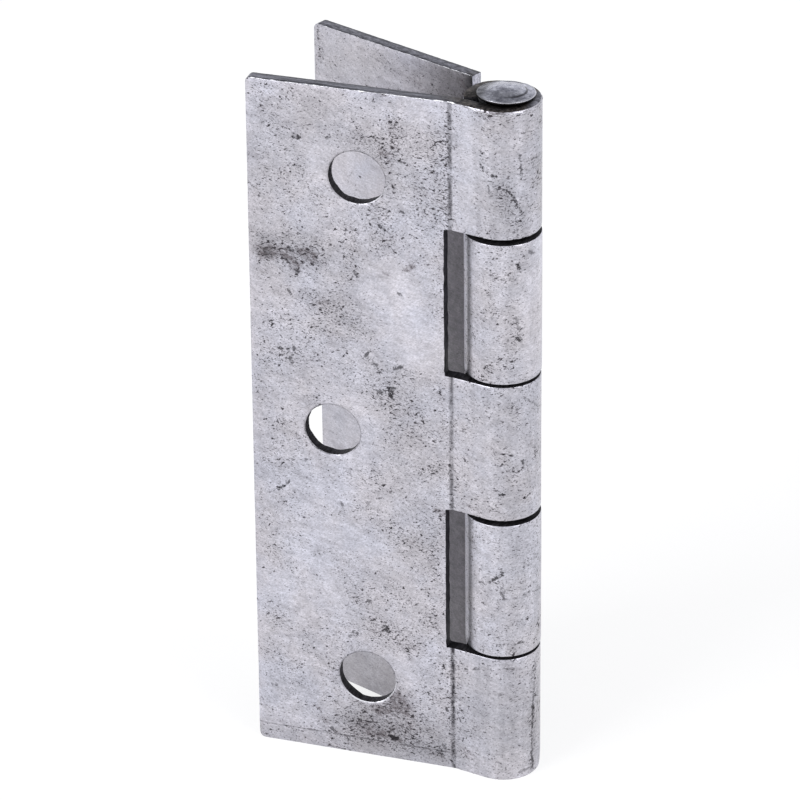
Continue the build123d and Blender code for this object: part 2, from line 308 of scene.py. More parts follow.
def rolled_steel(name, leaf_name):
    """Cold-rolled mild steel, bare and long handled: lavender-grey with a fine mottled grain, broken up by
    pits, brown-grey oxide stains and nicks, duller where it is stained and smoother round the knuckles.
    It carries painted shade in the crease, the fold and round the holes, and painted highlights along the
    knuckles, the free edge, the holes' lower rims and before the crease."""
    material, add, shader, place = steel_tree(name, leaf_name)
    axes = add("ShaderNodeSeparateXYZ", {0: place}).node.outputs
    stain, pitting, rubbed_and_highlight, darker_and_fold_shade, sheltered, scar_depth, past_rim, rim_highlight = [
        add("ShaderNodeAttribute", attribute_name=word).node.outputs["Fac"]
        for word in (
            "stain", "pitting", "rubbed_and_highlight", "darker_and_fold_shade", "sheltered", "scar_depth", "past_rim", "rim_highlight",
        )
    ]

    # The rolled skin: clouds 10 mm and 2 mm across, short crossed strokes of grain 0.1 to 0.3 mm wide,
    # and fine lines along the hinge's width
    paler = 1.05 if leaf_name == "two_knuckle_leaf" else 1.0
    shade = clouding(add, place, (10, 10, 10), 0.96 * paler, 1.03 * paler)
    for size, low, high, ends, detail, tilt in (
        ((2.0, 2.0, 1.5), 0.88, 1.05, (0.35, 0.65), 5.0, 0.3),
        ((0.8, 0.8, 0.3), 0.86, 1.08, (0.33, 0.67), 4.0, 0.5),
        ((0.26, 0.26, 0.13), 0.82, 1.12, (0.33, 0.67), 2.0, -0.6),
        ((4.0, 4.0, 0.13), 0.95, 1.05, (0.35, 0.65), 2.0, 0.02),
    ):
        stroke = clouding(add, place, size, low, high, ends, detail, 0.65, tilt)
        shade = add("ShaderNodeMath", {0: shade, 1: stroke}, operation="MULTIPLY")
    even = add("ShaderNodeMapRange", {"Value": sheltered, "To Min": 0.0, "To Max": 0.1})
    shade = add("ShaderNodeMix", {0: even, 2: shade, 3: 0.98}, data_type="FLOAT")

    # Curling drew the knuckles' skin out along the pin
    on_curl = add("ShaderNodeMapRange", {"Value": axes["X"], "From Min": -3.5, "From Max": -2.0})
    drawn = clouding(add, place, (1.1, 1.1, 16), 0.90, 1.07, (0.35, 0.65), 2.0)
    drawn = add("ShaderNodeMix", {0: on_curl, 2: 1.0, 3: drawn}, data_type="FLOAT")

    # The bottom was drawn down in shearing, and shows a duller strip under a broken line
    low_strip = add(
        "ShaderNodeMapRange",
        {"Value": axes["Z"], "From Min": 2.1, "From Max": 1.5, "To Min": 1.0, "To Max": 0.94},
    )
    on_flat = add(
        "ShaderNodeMapRange",
        {"Value": axes["X"], "From Min": -CREASE_REACH, "From Max": -CREASE_REACH - 0.4},
    )
    low_strip = add("ShaderNodeMix", {0: on_flat, 2: 1.0, 3: low_strip}, data_type="FLOAT")
    # A painted highlight runs along the flat 0.6 mm before the crease
    crease_highlight = add("ShaderNodeMath", {0: axes["X"], 1: CREASE_REACH + 0.6})
    crease_highlight = add("ShaderNodeMath", {0: crease_highlight}, operation="ABSOLUTE")
    crease_highlight = add(
        "ShaderNodeMapRange",
        {"Value": crease_highlight, "From Min": 0.3, "From Max": 0.15, "To Min": 1.0, "To Max": 1.06},
    )
    # Rubbed places and painted highlights come out paler; darker places and the painted shade in the fold,
    # darker
    rub_and_highlight = add("ShaderNodeMapRange", {"Value": rubbed_and_highlight, "To Min": 1.0, "To Max": 1.12})
    darkening = add("ShaderNodeMapRange", {"Value": darker_and_fold_shade, "To Min": 1.0, "To Max": 0.44}, clamp=False)
    greasy = clouding(add, place, (0.8, 0.8, 0.7), 0.82, 1.2, (0.35, 0.65), 5.0, 0.7, 0.3)
    greasy = add("ShaderNodeMix", {0: darker_and_fold_shade, 2: 1.0, 3: greasy}, data_type="FLOAT", clamp_factor=True)
    for factor in (drawn, low_strip, crease_highlight, rub_and_highlight, darkening, greasy):
        shade = add("ShaderNodeMath", {0: shade, 1: factor}, operation="MULTIPLY")
    tint = clouding(add, place, (6, 6, 6), 0.0, 1.0, (0.38, 0.62), 5.0, 0.6)
    skin = add("ShaderNodeMix", {0: tint, 6: linear("#c9c9d4"), 7: linear("#cbc8cf")}, data_type="RGBA")
    skin = add("ShaderNodeMix", {0: darker_and_fold_shade, 6: skin, 7: linear("#cbc8cd")}, data_type="RGBA")
    colour = add("ShaderNodeVectorMath", {0: skin, "Scale": shade}, operation="SCALE")

    # Stains: strong where they are placed, broken up by blotches half a mm across, and smoky patches
    # all over
    blotches = clouding(add, place, (0.7, 0.7, 0.45), 0.0, 1.0, (0.33, 0.67), 5.0, 0.75, 0.4)
    stained = add("ShaderNodeMath", {0: stain, 1: blotches})
    oxide = add("ShaderNodeMapRange", {"Value": stained, "From Min": 0.95, "From Max": 1.7, "To Max": 0.8})
    smoky = clouding(add, place, (2.4, 2.4, 1.4), 0.0, 0.45, (0.52, 0.72), 6.0, 0.75, 0.3)

    # Pits: specks 0.1 mm and pits up to 0.4 mm across, few on clear steel and crowded in places
    few = clouding(add, place, (3.6, 3.6, 3.0), -0.5, 0.7, (0.37, 0.66), 5.0, 0.75)
    crowd = add("ShaderNodeMath", {0: few, 1: pitting}, operation="MAXIMUM")
    in_stain = add("ShaderNodeMath", {0: stain, 1: 0.75}, operation="MULTIPLY")
    crowd = add("ShaderNodeMath", {0: crowd, 1: in_stain}, operation="MAXIMUM")
    for spared in (rubbed_and_highlight, sheltered):
        crowd = add("ShaderNodeMath", {0: crowd, 1: spared}, operation="SUBTRACT")
    haze = add("ShaderNodeMapRange", {"Value": crowd, "To Min": 1.0, "To Max": 0.96})
    colour = add("ShaderNodeVectorMath", {0: colour, "Scale": haze}, operation="SCALE")
    pits = []
    for size, tilt, rare, common, depth in (
        ((0.24, 0.24, 0.13), 0.3, 0.6, 0.52, 0.7),
        ((0.5, 0.5, 0.28), -0.25, 0.645, 0.535, 0.95),
    ):
        needed = add("ShaderNodeMapRange", {"Value": crowd, "To Min": rare, "To Max": common}, clamp=False)
        grains = clouding(add, place, size, 0.0, 1.0, (0.0, 1.0), 3.0, 0.6, tilt)
        above = add("ShaderNodeMath", {0: grains, 1: needed}, operation="SUBTRACT")
        above = {"Value": above, "From Min": 0.0, "From Max": 0.04, "To Max": depth}
        pits.append(add("ShaderNodeMapRange", above))
    pits = add("ShaderNodeMath", dict(enumerate(pits)), operation="MAXIMUM")

    # Nicks and scratches: the attribute holds the way from the middle of the nearest one, and its reach
    from_scar = add("ShaderNodeAttribute", attribute_name="from_scar").node.outputs["Vector"]
    reach = add("ShaderNodeSeparateXYZ", {0: from_scar}).node.outputs["Z"]
    across = add("ShaderNodeVectorMath", {0: from_scar, 1: (1, 1, 0)}, operation="MULTIPLY")
    away = add("ShaderNodeVectorMath", {0: across}, operation="LENGTH")
    uneven = clouding(add, place, (0.28, 0.28, 0.28), -0.09, 0.12)
    for factor, sign in ((reach, -1.0), (uneven, 1.0)):
        away = add("ShaderNodeMath", {0: factor, 1: sign, 2: away}, operation="MULTIPLY_ADD")
    scars = add("ShaderNodeMapRange", {"Value": away, "From Min": 0.05, "From Max": -0.03})
    broken = clouding(add, place, (0.4, 0.4, 0.4), 0.25, 1.0, (0.40, 0.50), 3.0)
    for factor in (scar_depth, broken):
        scars = add("ShaderNodeMath", {0: scars, 1: factor}, operation="MULTIPLY")

    # Painted shade in the crease, thickest at the bottom, and a dark line along the line over the bottom
    # strip
    patchy = clouding(add, place, (0.8, 0.8, 1.2), 0.3, 1.0, (0.40, 0.56), 5.0, 0.7)
    lower = add(
        "ShaderNodeMapRange",
        {"Value": axes["Z"], "From Min": 30, "From Max": 12, "To Min": 0.75, "To Max": 1.0},
    )
    faint = add("ShaderNodeMath", {0: on_flat, 1: 0.6}, operation="MULTIPLY")
    grime_and_shade = []
    for axis, at, half_width, most in (("X", -CREASE_REACH - 0.1, 0.32, lower), ("Z", 1.9, 0.14, faint)):
        off = add("ShaderNodeMath", {0: axes[axis], 1: at}, operation="SUBTRACT")
        off = add("ShaderNodeMath", {0: off}, operation="ABSOLUTE")
        line = add(
            "ShaderNodeMapRange", {"Value": off, "From Min": half_width, "From Max": 0.3 * half_width}
        )
        for factor in (patchy, most):
            line = add("ShaderNodeMath", {0: line, 1: factor}, operation="MULTIPLY")
        grime_and_shade.append(line)
    grime_and_shade = add("ShaderNodeMath", dict(enumerate(grime_and_shade)), operation="MAXIMUM")
    # and a painted highlight on the holes' lower rims, with a thin line of painted shade, also broken, round
    # the rest of each rim
    painted_rim_highlight = add("ShaderNodeMapRange", {"Value": past_rim, "From Min": 0.18, "From Max": 0.1})
    for factor in (patchy, rim_highlight):
        painted_rim_highlight = add("ShaderNodeMath", {0: painted_rim_highlight, 1: factor}, operation="MULTIPLY")
    left = add("ShaderNodeMath", {0: 1.0, 1: rim_highlight}, operation="SUBTRACT")
    ring = add("ShaderNodeMapRange", {"Value": past_rim, "From Min": 0.2, "From Max": 0.08, "To Max": 0.6})
    for factor in (patchy, left):
        ring = add("ShaderNodeMath", {0: ring, 1: factor}, operation="MULTIPLY")
    grime_and_shade = add("ShaderNodeMath", {0: grime_and_shade, 1: ring}, operation="MAXIMUM")
    exposed = add("ShaderNodeMath", {0: 1.0, 1: sheltered}, operation="SUBTRACT")
    grime_and_shade = add("ShaderNodeMath", {0: grime_and_shade, 1: exposed}, operation="MULTIPLY")

    layers = (
        (smoky, "#8c8990"),
        (oxide, "#6a6366"),
        (pits, "#3f3b3f"),
        (grime_and_shade, "#3c3a3f"),
        (scars, "#2b292d"),
        (painted_rim_highlight, "#e4e4ea"),
    )
    for share, over in layers:
        colour = add("ShaderNodeMix", {0: share, 6: colour, 7: linear(over)}, data_type="RGBA")

    # Duller in stains and pits, smoother past the crease where the knuckles are burnished
    dull = add("ShaderNodeMath", {0: oxide, 1: pits}, operation="MAXIMUM")
    past_crease = {"Value": axes["X"], "From Min": -CREASE_REACH, "From Max": -CREASE_REACH + 1.5}
    smooth = add("ShaderNodeMapRange", {**past_crease, "To Min": 0.42, "To Max": 0.34})
    finish = add("ShaderNodeMath", {0: dull, 1: 0.3, 2: smooth}, operation="MULTIPLY_ADD", use_clamp=True)
    height = add("ShaderNodeMath", {0: pits, 1: -1.0, 2: shade}, operation="MULTIPLY_ADD")
    bump = add("ShaderNodeBump", {"Strength": 0.25, "Distance": 0.02 * MM, "Height": height})
    set_inputs(shader, {"Base Color": colour, "Roughness": finish, "Normal": bump})
    return material


def sheared_steel(name, leaf_name, dark, light, streak, dirty):
    """The cut edge of the sheet: burnished and torn bands drawn out along the cut, grey and dull,
    and oily brown-black towards the pin where `dirty`, with painted shade behind the burr and beside the
    pin's head."""
    material, add, shader, place = steel_tree(name, leaf_name)
    axes = add("ShaderNodeSeparateXYZ", {0: place}).node.outputs
    bands = clouding(add, place, (streak, 0.35, 0.3), 0.0, 1.0, (0.36, 0.64), 3.0, 0.7)
    colour = add("ShaderNodeMix", {0: bands, 6: linear(dark), 7: linear(light)}, data_type="RGBA")
    flecks = clouding(add, place, (0.3, 0.3, 0.3), 0.75, 1.2, (0.35, 0.65), 3.0, 0.7)
    colour = add("ShaderNodeVectorMath", {0: colour, "Scale": flecks}, operation="SCALE")
    if dirty:
        # A dark line is painted along each side of the cut: painted shade behind the burr, and a dark line
        # along the back
        on_flat = add(
            "ShaderNodeMapRange",
            {"Value": axes["X"], "From Min": -CREASE_REACH, "From Max": -CREASE_REACH - 1},
        )
        off_middle = add("ShaderNodeMath", {0: axes["Y"], 1: FACE_OFFSET - SHEET / 2})
        off_middle = add("ShaderNodeMath", {0: off_middle}, operation="ABSOLUTE")
        at_side = {"Value": off_middle, "From Min": SHEET / 2 - 0.4, "From Max": SHEET / 2 - 0.15}
        burr_shade_and_back_line = add("ShaderNodeMapRange", {**at_side, "To Max": 0.55})
        burr_shade_and_back_line = add("ShaderNodeMath", {0: burr_shade_and_back_line, 1: on_flat}, operation="MULTIPLY")
        colour = add("ShaderNodeMix", {0: burr_shade_and_back_line, 6: colour, 7: linear("#2c2b31")}, data_type="RGBA")
        from_pin = add("ShaderNodeVectorMath", {0: place, 1: (1, 1, 0)}, operation="MULTIPLY")
        from_pin = add("ShaderNodeVectorMath", {0: from_pin}, operation="LENGTH")
        oily = add(
            "ShaderNodeMapRange",
            {"Value": from_pin, "From Min": 7, "From Max": 3.9, "To Min": 0, "To Max": 0.95},
        )
        clean = add("ShaderNodeMapRange", {"Value": axes["X"], "From Min": 3.3, "From Max": 2.7})
        oily = add("ShaderNodeMath", {0: oily, 1: clean}, operation="MULTIPLY")
        darkening = clouding(add, place, (0.6, 0.6, 0.6), 0.0, 1.0, (0.42, 0.66), 5.0, 0.8)
        darkening = add("ShaderNodeMix", {0: darkening, 6: linear("#1d1a19"), 7: linear("#857c76")}, data_type="RGBA")
        # The oil is painted darker still beside the pin's head, as painted shade
        shade_beside_head = add(
            "ShaderNodeMapRange", {"Value": from_pin, "From Min": 2.9, "From Max": 3.7, "To Min": 0.45}
        )
        darkening = add("ShaderNodeVectorMath", {0: darkening, "Scale": shade_beside_head}, operation="SCALE")
        colour = add("ShaderNodeMix", {0: oily, 6: colour, 7: darkening}, data_type="RGBA")
    set_inputs(shader, {"Base Color": colour, "Roughness": 0.5})
    return material


def blackened_and_shaded_steel(name, leaf_name):
    """Punched walls of holes and slots, blackened by oil and darkened further as painted shade: almost
    black, scored through the sheet.
    """
    material, add, shader, place = steel_tree(name, leaf_name)
    broken = clouding(add, place, (0.22, 1.2, 0.22), 0.0, 1.0, (0.38, 0.68), 4.0)
    colour = add("ShaderNodeMix", {0: broken, 6: linear("#161518"), 7: linear("#454349")}, data_type="RGBA")
    set_inputs(shader, {"Base Color": colour, "Metallic": 0.6, "Roughness": 0.6})
    return material


def burnished_and_highlighted_steel(name, leaf_name, dark, light):
    """Edges and burrs rubbed bright: the palest steel here, smooth enough to catch the light, but
    brown-black with grease beside the pin's head. What doesn't face down also gets a painted highlight."""
    material, add, shader, place = steel_tree(name, leaf_name)
    worn = clouding(add, place, (0.5, 0.5, 0.5), 0.0, 1.0, (0.38, 0.62), 4.0)
    colour = add("ShaderNodeMix", {0: worn, 6: linear(dark), 7: linear(light)}, data_type="RGBA")
    axes = add("ShaderNodeSeparateXYZ", {0: place}).node.outputs
    smear = clouding(add, place, (1.6, 1.6, 0.5), -0.12, 0.12, (0.4, 0.6), 3.0)
    height = add("ShaderNodeMath", {0: axes["Z"], 1: smear})
    greasy = add(
        "ShaderNodeMapRange",
        {"Value": height, "From Min": LEAF_HEIGHT - 0.26, "From Max": LEAF_HEIGHT - 0.12, "To Max": 0.95},
    )
    beside = add("ShaderNodeMapRange", {"Value": axes["X"], "From Min": -4.0, "From Max": -2.5})
    right = add("ShaderNodeMapRange", {"Value": axes["X"], "From Min": 2.4, "From Max": 1.2})
    beside = add("ShaderNodeMath", {0: beside, 1: right}, operation="MULTIPLY")
    greasy = add("ShaderNodeMath", {0: greasy, 1: beside}, operation="MULTIPLY")
    colour = add("ShaderNodeMix", {0: greasy, 6: colour, 7: linear("#2b2522")}, data_type="RGBA")
    # Away from the knuckles and below the top, what doesn't face down gets a painted highlight, the palest
    # of all: the free edge and the lower rims of the holes
    facing = add("ShaderNodeNewGeometry").node.outputs["Normal"]
    facing = add("ShaderNodeSeparateXYZ", {0: facing}).node.outputs["Z"]
    rubbed_and_highlight = add("ShaderNodeMapRange", {"Value": facing, "From Min": -0.2, "From Max": 0.1, "To Max": 1.0})
    on_flat = add("ShaderNodeMapRange", {"Value": axes["X"], "From Min": -8.0, "From Max": -9.0})
    below_top = add("ShaderNodeMapRange", {"Value": axes["Z"], "From Min": 70.0, "From Max": 69.0})
    patchy = clouding(add, place, (0.9, 0.9, 0.9), 0.7, 1.0)
    for factor in (on_flat, below_top, patchy):
        rubbed_and_highlight = add("ShaderNodeMath", {0: rubbed_and_highlight, 1: factor}, operation="MULTIPLY")
    colour = add("ShaderNodeMix", {0: rubbed_and_highlight, 6: colour, 7: linear("#fbfbff")}, data_type="RGBA")
    set_inputs(shader, {"Base Color": colour, "Roughness": 0.42})
    return material


def riveted_steel(name):
    """Drawn mild steel wire, its end hammered over: bluish grey, darker than the leaves, mottled by
    the blows, with a painted highlight on its rim and painted shade in the ring round the crown."""
    material, add, shader, place = steel_tree(name)
    axes = add("ShaderNodeSeparateXYZ", {0: place}).node.outputs
    blows = clouding(add, place, (0.7, 0.7, 0.7), 0.0, 1.0, (0.36, 0.64), 5.0, 0.7)
    colour = add("ShaderNodeMix", {0: blows, 6: linear("#8c8d9b"), 7: linear("#dcdde8")}, data_type="RGBA")
    flecks = clouding(add, place, (0.22, 0.22, 0.22), 0.8, 1.15, (0.35, 0.65), 3.0)
    colour = add("ShaderNodeVectorMath", {0: colour, "Scale": flecks}, operation="SCALE")
    from_axis = add(
        "ShaderNodeVectorMath",
        {0: place, 1: (1, 1, 0), 2: (-HEAD_SHIFT[0], -HEAD_SHIFT[1], 0)},
        operation="MULTIPLY_ADD",
    )
    away = add("ShaderNodeVectorMath", {0: from_axis}, operation="LENGTH")
    # A ring of painted shade round the crown, on its right, and a painted highlight on the rim
    off_ring = add("ShaderNodeMath", {0: away, 1: 1.98}, operation="SUBTRACT")
    off_ring = add("ShaderNodeMath", {0: off_ring}, operation="ABSOLUTE")
    ring = add("ShaderNodeMapRange", {"Value": off_ring, "From Min": 0.13, "From Max": 0.05})
    right = add("ShaderNodeMapRange", {"Value": axes["X"], "From Min": 0.6, "From Max": 1.8, "To Max": 0.8})
    ring = add("ShaderNodeMath", {0: ring, 1: right}, operation="MULTIPLY")
    rim = add("ShaderNodeMapRange", {"Value": away, "From Min": 2.7, "From Max": 2.82, "To Max": 0.8})
    for share, over in ((ring, "#35343b"), (rim, "#dcdce4")):
        colour = add("ShaderNodeMix", {0: share, 6: colour, 7: linear(over)}, data_type="RGBA")
    # Painted shade: darker to the left and the front of the crown, and a painted shadow, darkest of all,
    # under the rim
    left = {"Value": axes["X"], "From Min": -0.9, "From Max": -1.9, "To Min": 1.0, "To Max": 0.3}
    front = {"Value": axes["Y"], "From Min": 0.2, "From Max": -1.2, "To Min": 1.0, "To Max": 0.75}
    under = {"Value": axes["Z"], "From Min": LEAF_HEIGHT + 0.36, "From Max": LEAF_HEIGHT + 0.26}
    for fall in (left, front, {**under, "To Min": 1.0, "To Max": 0.05}):
        fall = add("ShaderNodeMapRange", fall)
        colour = add("ShaderNodeVectorMath", {0: colour, "Scale": fall}, operation="SCALE")
    bump = add("ShaderNodeBump", {"Strength": 0.5, "Distance": 0.03 * MM, "Height": blows})
    set_inputs(shader, {"Base Color": colour, "Roughness": 0.27, "Normal": bump})
    return material


# A leaf's materials, by face
# The blackened faces, the walls of slots and holes and the curl's end, are painted near black: oil and
# painted shade
ROLLED, SHEARED, BLACKENED_AND_SHADED, BROKEN_EDGE, SLOT_END, BURR = range(6)

FAR_FROM_SCARS = (9.0, 9.0, 0.0)  # sideways, upwards and reach, where no scar is near


def cut_across(mesh, axis, places):
    """Cuts every face along planes square to an axis, at places in mm."""
    for place in places:
        middle, normal = Vector((0, 0, 0)), Vector((0, 0, 0))
        middle[axis], normal[axis] = place * MM, 1
        everything = mesh.verts[:] + mesh.edges[:] + mesh.faces[:]
        bmesh.ops.bisect_plane(mesh, geom=everything, dist=0.01 * MM, plane_co=middle, plane_no=normal)


def sort_face(face, leaf_name):
    """Which of the leaf's materials a face has: rolled skin, a sheared edge, a slot or a hole."""
    centre = face.calc_center_median() / MM
    normal = face.normal
    radius = hypot(centre.x, centre.y)
    in_sheet = -FACE_OFFSET + 0.01 < centre.y < -FACE_OFFSET + SHEET - 0.01
    if abs(normal.z) > 0.7:
        return SHEARED if centre.z < 0.2 or centre.z > LEAF_HEIGHT - 0.2 else BLACKENED_AND_SHADED
    if centre.x < -CREASE_REACH and in_sheet:
        near_hole = any(hypot(centre.x + reach, centre.z - z) < HOLE_RADIUS + 0.3 for reach, z in HOLES)
        # Slot ends: a painted highlight on the two-knuckle leaf, painted shade on the three-knuckle leaf
        if abs(centre.x + SLOT_DEPTH) < 0.75:
            return SLOT_END if leaf_name == "two_knuckle_leaf" else BLACKENED_AND_SHADED
        return BLACKENED_AND_SHADED if near_hole else SHEARED
    if centre.x < -CREASE_REACH:
        return BLACKENED_AND_SHADED if abs(normal.y) < 0.9 else ROLLED
    outwards = Vector((centre.x, centre.y, 0)).normalized()
    curl_end = radius > PIN_RADIUS + 0.1 and abs(normal.dot(outwards)) < 0.5
    return BLACKENED_AND_SHADED if curl_end and centre.y > -1.6 and centre.x < 0 else ROLLED


def crank_lean(outer):
    """The angle between the flat and the crank, which runs from the crease to a knuckle's outside."""
    return asin(outer / hypot(CREASE_REACH, FACE_OFFSET)) - atan2(FACE_OFFSET, CREASE_REACH)


def unrolled(points, bore):
    """Each point on the unrolled sheet: mm past the crease, mm under the outer side, and the way out."""
    x, y = points[:, 0], points[:, 1]
    outer = bore + SHEET
    lean = crank_lean(outer)
    curl_start = -pi / 2 - lean
    along = np.array((cos(lean), -sin(lean)))
    out = np.array((-sin(lean), -cos(lean)))
    from_crease = np.stack((x + CREASE_REACH, y + FACE_OFFSET), axis=1)
    crank_length = hypot(CREASE_REACH + outer * cos(curl_start), FACE_OFFSET + outer * sin(curl_start))
    radius = np.hypot(x, y)
    turn = np.mod(np.arctan2(y, x) - curl_start, 2 * pi)
    past = crank_length + outer * turn
    depth = outer - radius
    outwards = np.stack((x, y), axis=1) / np.maximum(radius, 0.01)[:, None]
    crank = turn > radians(307)  # the curl ends at 305 degrees
    past = np.where(crank, from_crease @ along, past)
    depth = np.where(crank, -(from_crease @ out), depth)
    outwards = np.where(crank[:, None], out, outwards)
    flat = x < -CREASE_REACH
    past = np.where(flat, x + CREASE_REACH, past)
    depth = np.where(flat, y + FACE_OFFSET, depth)
    outwards = np.where(flat[:, None], (0.0, -1.0), outwards)
    return past, depth, outwards


def from_middle_line(past, height, mark):
    """The way to each place, sideways and upwards, from a mark's middle line."""
    run, rise = mark[2] - mark[0], mark[3] - mark[1]
    sideways, upwards = past - mark[0], height - mark[1]
    share = np.clip((sideways * run + upwards * rise) / max(run * run + rise * rise, 1e-6), 0, 1)
    return sideways - share * run, upwards - share * rise


def inside_marks(past, height, marks):
    """How strongly each place lies in a mark, which fades from 0.4 to 1.6 times its reach."""
    total = np.zeros(len(past))
    for *line, reach, strength in marks:
        away = np.hypot(*from_middle_line(past, height, line))
        start, end = 0.4 * reach, 1.6 * reach
        total = np.maximum(total, strength * np.clip((end - away) / (end - start), 0, 1))
    return total


def nearest_mark(past, height, marks):
    """The way to each place from the nearest mark's middle line, with its reach, and its strength."""
    way = np.tile(FAR_FROM_SCARS, (len(past), 1))
    depth, least = np.zeros(len(past)), np.full(len(past), 1e6)
    for *line, reach, strength in marks:
        sideways, upwards = from_middle_line(past, height, line)
        gap = np.hypot(sideways, upwards) - reach
        nearer = gap < least
        way[nearer] = np.stack((sideways, upwards, np.full(len(past), reach)), axis=1)[nearer]
        depth[nearer], least[nearer] = strength, gap[nearer]
    return way, depth


def random_wave(points, size, seed):
    """Smooth noise between -1 and 1 at each point, with waves `size` mm long."""
    shift = Vector((seed, -seed, 2 * seed))
    return np.array([noise.noise(Vector(point) / size + shift) for point in points])


def press(mesh, leaf):
    """Moves the points of a leaf to where shearing, punching and handling leave them."""
    points = np.array([v.co[:] for v in mesh.verts]) / MM
    past, depth, outwards = unrolled(points, leaf["bore"])
    x, z = points[:, 0], points[:, 2]
    outer_side = depth < 0.02

    # Shearing draws the outer side down along the bottom and the free edge, punching round the holes,
    # and slotting at the knuckles' ends
    sunk = 0.1 * np.clip(1 - z / 1.9, 0, 1) ** 2
    from_edge = x + LEAF_REACH - leaf["edge_lean"] * z / LEAF_HEIGHT
    sunk += 0.2 * np.clip(1 - from_edge / 0.9, 0, 1) ** 2
    for reach, height in HOLES:
        sunk += 0.1 * np.clip(1 - (np.hypot(x + reach, z - height) - HOLE_RADIUS) / 0.5, 0, 1) ** 2
    for low, high in leaf["slots"]:
        beside = np.minimum(np.abs(z - low), np.abs(z - high))
        past_end = np.maximum(np.maximum(low - z, z - high), 0)
        beside = np.where(x > -SLOT_DEPTH - 0.01, beside, np.hypot(x + SLOT_DEPTH, past_end))
        sunk += 0.03 * np.clip(1 - beside / 0.3, 0, 1) ** 2
    sunk = np.where(outer_side, sunk, 0) + 0.012 * random_wave(points, 7.0, 3.1)
    points[:, :2] -= outwards * sunk[:, None]

    # The slots' inner corners were cut nearly square, and their ends a little unevenly
    for low, high in leaf["slots"]:
        for corner, way in ((low, -1), (high, 1)):
            if not 0 < corner < LEAF_HEIGHT:
                continue
            in_x = x + SLOT_DEPTH - CORNER_RADIUS
            in_z = (z - corner + way * CORNER_RADIUS) * way
            from_middle = np.maximum(np.hypot(in_x, in_z), 0.01)
            towards_corner = from_middle / np.maximum(np.maximum(-in_x, in_z), 0.01) - 1
            squared = CORNER_RADIUS * (1 + 0.75 * towards_corner)
            further = (from_middle - CORNER_RADIUS) * (CORNER_BLEND - squared)
            further = squared + further / (CORNER_BLEND - CORNER_RADIUS)
            moved = (from_middle > CORNER_RADIUS - 0.02) & (from_middle < CORNER_BLEND)
            moved &= (in_x < 0) & (in_z > 0)
            stretch = np.where(moved, further / from_middle - 1, 0)
            points[:, 0] += in_x * stretch
            points[:, 2] += in_z * way * stretch
        at_end = (np.abs(x + SLOT_DEPTH) < 0.01) & (z > low + 0.3) & (z < high - 0.3)
        points[:, 0] += np.where(at_end, 0.09 * random_wave(points, 0.9, 4.4), 0)

    # The holes came out a little oval and to one side
    for (reach, height), (shift, across, down, up, _) in zip(HOLES, leaf["punched"]):
        in_x, in_z = x + reach, z - height
        near = np.clip(1 - (np.hypot(in_x, in_z) / HOLE_RADIUS - 1) / 0.6, 0, 1) * (x < -CREASE_REACH)
        upright = np.where(in_z < 0, down, up) - HOLE_RADIUS
        points[:, 0] += near * (shift + np.clip(in_x / HOLE_RADIUS, -1, 1) * (across - HOLE_RADIUS))
        points[:, 2] += near * np.clip(in_z / HOLE_RADIUS, -1, 1) * upright

    # Sheared edges wander a little
    wander = 0.03 * random_wave(points, 0.9, 7.7)
    top, bottom, edge = z > LEAF_HEIGHT - 0.01, z < 0.01, from_edge < 0.02
    points[:, 2] -= np.where(top, np.abs(wander), 0)
    points[:, 2] += np.where(bottom, np.abs(wander), 0)
    points[:, 0] += np.where(edge, np.abs(wander) * 1.5, 0)
    # and punched holes tear unevenly towards the inner side
    for reach, height in HOLES:
        away = np.hypot(x + reach, z - height)
        torn = (away < HOLE_RADIUS + 0.16) & (depth > 0.2) & (depth < SHEET + 0.05) & (x < -CREASE_REACH)
        out = np.stack(((x + reach) / away, (z - height) / away), axis=1)
        uneven = 0.14 * random_wave(points, 1.3, 5.3) + 0.08 * random_wave(points, 0.5, 1.9)
        points[:, (0, 2)] += np.where(torn, uneven, 0)[:, None] * out
    for vertex, point in zip(mesh.verts, points):
        vertex.co = point * MM


def top_roll(x):
    """How far the top knuckle's outer edge is rounded over at x, in mm: not at all over the flat."""
    return TOP_ROLL * min(1, max(0, (x + 2.8) / 2))


